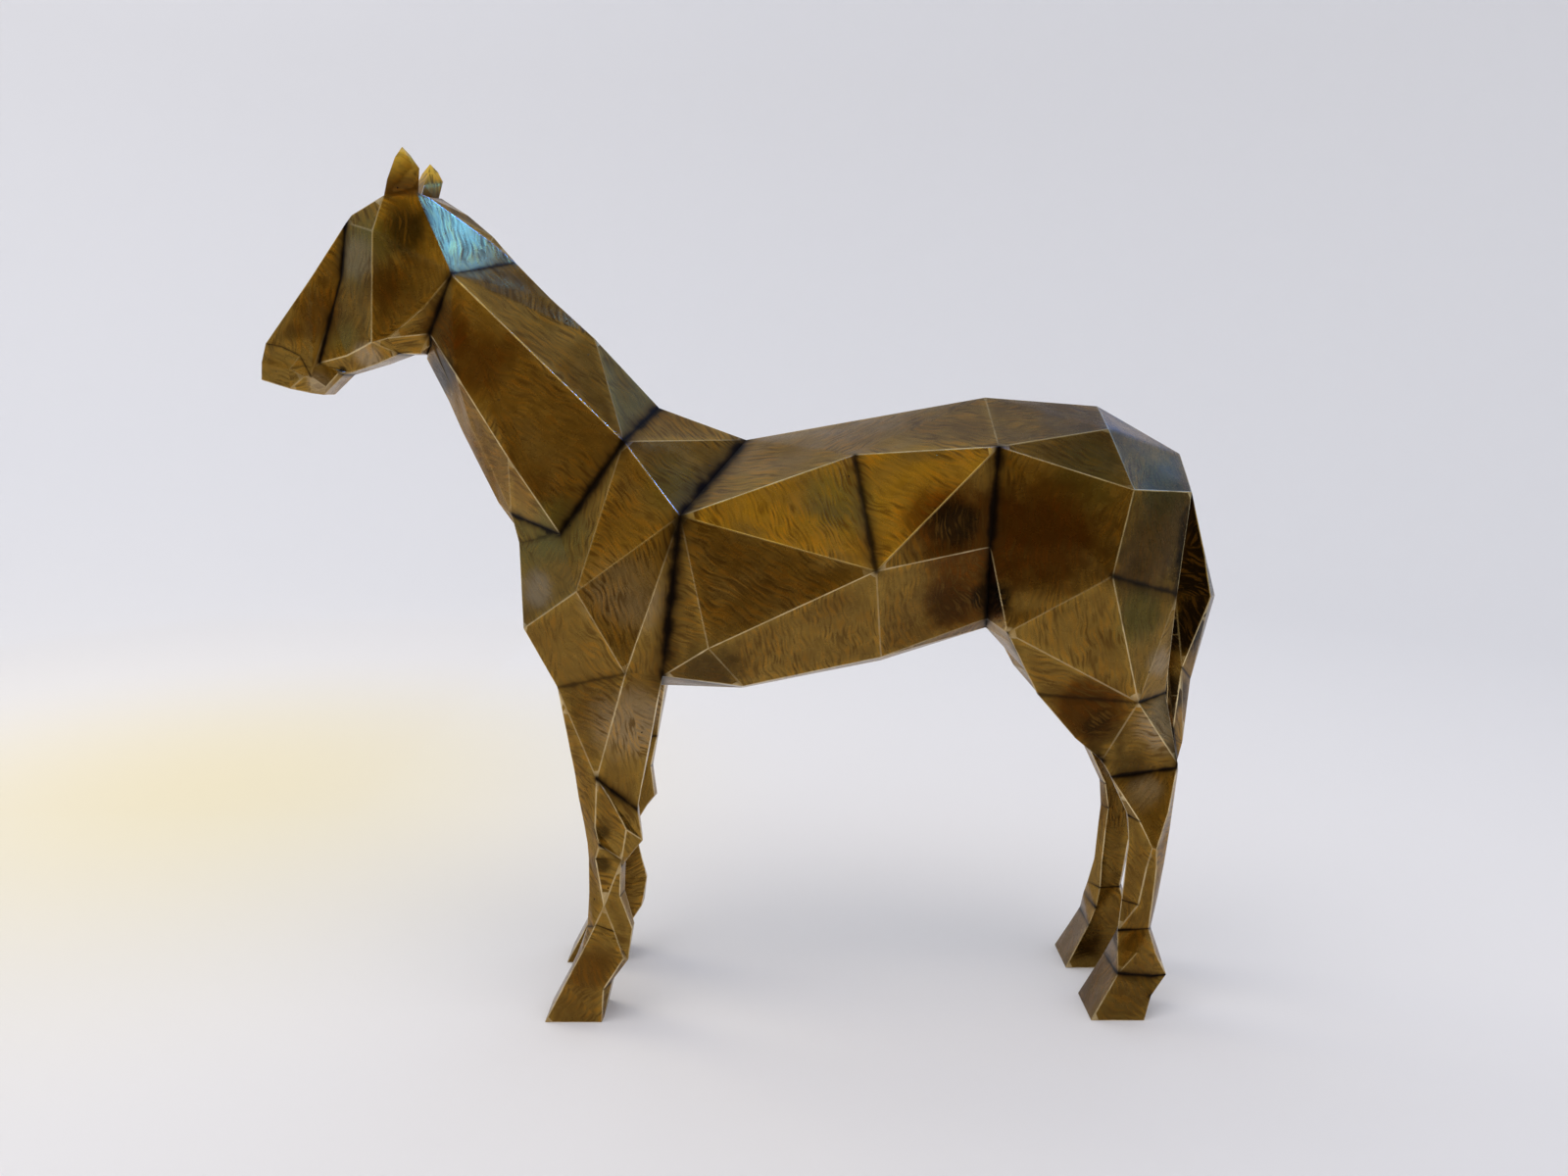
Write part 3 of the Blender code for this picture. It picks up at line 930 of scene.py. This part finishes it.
def paper_material(studio):
    """Pale paper with a painted pool of warm light on one side."""
    material = bpy.data.materials.new("paper_sweep")
    material.use_nodes = True
    shop = Workshop(material.node_tree)
    place = shop.node("ShaderNodeTexCoord").outputs["Object"]
    # Painted light: a pool of warm light, painted into the paper's colour around one place.
    gap = shop.measure("DISTANCE", place, WARM_GLOW_MIDDLE)
    warm_glow_share = shop.ease(gap, WARM_GLOW_REACH, 0.0)
    paper = shop.node(
        "ShaderNodeBsdfPrincipled",
        None,
        {
            "Base Color": shop.blend(warm_glow_share, colour(studio.paper), colour(studio.painted_warm_glow)),
            "Roughness": 0.85,
            "Specular IOR Level": 0.2,
        },
    )
    shop.node("ShaderNodeOutputMaterial", None, {"Surface": paper.outputs[0]})
    return material


def paper_sweep(studio):
    """A round paper floor that bends up into a wall."""
    bpy.ops.mesh.primitive_circle_add(
        vertices=96, radius=studio.sweep_floor, fill_type="NGON", location=(0, 0, 0)
    )
    sweep = bpy.context.object
    sweep.name = "paper_sweep"
    edit(sweep)
    radius = studio.sweep_floor
    height = 0.0
    steps = 14
    places = []
    for step in range(1, steps + 1):
        angle = math.radians(90) * step / steps
        places.append(
            (
                studio.sweep_floor + studio.sweep_bend * math.sin(angle),
                studio.sweep_bend * (1 - math.cos(angle)),
            )
        )
    places.append((places[-1][0], places[-1][1] + studio.sweep_wall))
    bpy.ops.mesh.select_all(action="DESELECT")
    select_edges(sweep, lambda edge: True)
    for reach, rise in places:
        bpy.ops.mesh.extrude_edges_move(
            TRANSFORM_OT_translate={"value": (0, 0, rise - height)}
        )
        bpy.ops.transform.resize(
            value=(reach / radius, reach / radius, 1), center_override=(0, 0, rise)
        )
        radius = reach
        height = rise
    bpy.ops.mesh.select_all(action="SELECT")
    bpy.ops.mesh.normals_make_consistent(inside=True)
    leave_edit()
    bpy.ops.object.shade_smooth_by_angle(angle=math.radians(40))
    sweep.data.materials.append(paper_material(studio))
    return sweep


def facing(azimuth, elevation):
    """The way out from the horse. An azimuth of nought is on the photograph's side."""
    turn = math.radians(azimuth)
    rise = math.radians(elevation)
    reach = math.cos(rise)
    return Vector((math.sin(turn) * reach, -math.cos(turn) * reach, math.sin(rise)))


def hide_from_camera(made, tint, strength):
    """Lets a card show in the bronze alone."""
    made.data.materials.append(glow_material(made.name, tint, strength))
    made.visible_camera = False
    made.visible_diffuse = False
    made.visible_shadow = False
    made.visible_transmission = False


def card(name, place, azimuth, elevation, distance, width, height, tint, strength):
    """A coloured card that faces a place on the horse. Only the bronze mirrors it."""
    way = facing(azimuth, elevation)
    bpy.ops.mesh.primitive_plane_add(size=1, location=place + way * distance)
    made = bpy.context.object
    made.name = name
    made.scale = (width, height, 1)
    made.rotation_mode = "QUATERNION"
    made.rotation_quaternion = (-way).to_track_quat("Z", "Y")
    bpy.ops.object.transform_apply(location=True, rotation=True, scale=True)
    hide_from_camera(made, tint, strength)


def flag(name, middle, width, depth, tint):
    """A dark card that lies on the paper in front of the horse. Only the bronze mirrors it."""
    bpy.ops.mesh.primitive_plane_add(size=1, location=(*middle, 0.001))
    made = bpy.context.object
    made.name = name
    made.scale = (width, depth, 1)
    bpy.ops.object.transform_apply(location=True, rotation=True, scale=True)
    hide_from_camera(made, tint, 1.0)


def lamp(name, place, azimuth, elevation, distance, size, tint, power):
    """A round soft lamp that faces a place. The bronze doesn't mirror it."""
    way = facing(azimuth, elevation)
    bpy.ops.object.light_add(type="AREA", location=place + way * distance)
    made = bpy.context.object
    made.name = name
    made.data.shape = "DISK"
    made.data.size = size
    made.data.color = tint
    made.data.energy = power
    made.rotation_mode = "QUATERNION"
    made.rotation_quaternion = way.to_track_quat("Z", "Y")
    made.visible_glossy = False
    made.visible_camera = False


class HORSE_OT_stage(bpy.types.Operator):
    """Sets the paper sweep, the lights and the camera"""

    bl_idname = "horse.stage"
    bl_label = "Studio"

    def execute(self, context):
        studio = context.scene.horse_studio
        deselect_all()
        paper_sweep(studio)
        for name, values in CARDS.items():
            card(name, *values)
        for name, values in FLAGS.items():
            flag(name, *values)
        for name, values in LAMPS.items():
            lamp(name, *values)
        world = bpy.data.worlds.new("studio_air")
        world.use_nodes = True
        context.scene.world = world
        shop = Workshop(world.node_tree)
        air = shop.node(
            "ShaderNodeBackground", None, {"Color": colour(AIR_TINT), "Strength": AIR_STRENGTH}
        )
        shop.node("ShaderNodeOutputWorld", None, {"Surface": air.outputs[0]})
        bpy.ops.object.camera_add(
            location=studio.camera_place,
            rotation=(math.radians(90) - studio.camera_tilt, 0, 0),
        )
        camera = bpy.context.object
        camera.name = "photo_camera"
        camera.data.lens = studio.camera_lens
        camera.data.sensor_width = 36
        camera.data.clip_start = 0.02
        context.scene.camera = camera
        context.scene.view_settings.view_transform = "Standard"
        return {"FINISHED"}


class HORSE_PT_panel(bpy.types.Panel):
    bl_idname = "HORSE_PT_panel"
    bl_label = "Bronze Horse"
    bl_space_type = "VIEW_3D"
    bl_region_type = "UI"
    bl_category = "Bronze Horse"

    def draw(self, context):
        layout = self.layout
        for made in OPERATORS:
            layout.operator(made.bl_idname)
        for group_name in GROUPS:
            group = getattr(context.scene, group_name)
            box = layout.box()
            for name in group.bl_rna.properties.keys():
                if name not in ("rna_type", "name"):
                    box.prop(group, name)


GROUPS = {"horse_skin": SkinSizes, "horse_finish": BronzeFinish, "horse_studio": StudioSet}
OPERATORS = (HORSE_OT_skin, HORSE_OT_stage)


def register():
    for made in (*GROUPS.values(), *OPERATORS, HORSE_PT_panel):
        bpy.utils.register_class(made)
    for name, made in GROUPS.items():
        setattr(bpy.types.Scene, name, bpy.props.PointerProperty(type=made))


def unregister():
    for name in GROUPS:
        delattr(bpy.types.Scene, name)
    for made in (HORSE_PT_panel, *reversed(OPERATORS), *reversed(GROUPS.values())):
        bpy.utils.unregister_class(made)


def main():
    register()
    bpy.ops.horse.skin()
    bpy.ops.horse.stage()


if __name__ == "__main__":
    main()
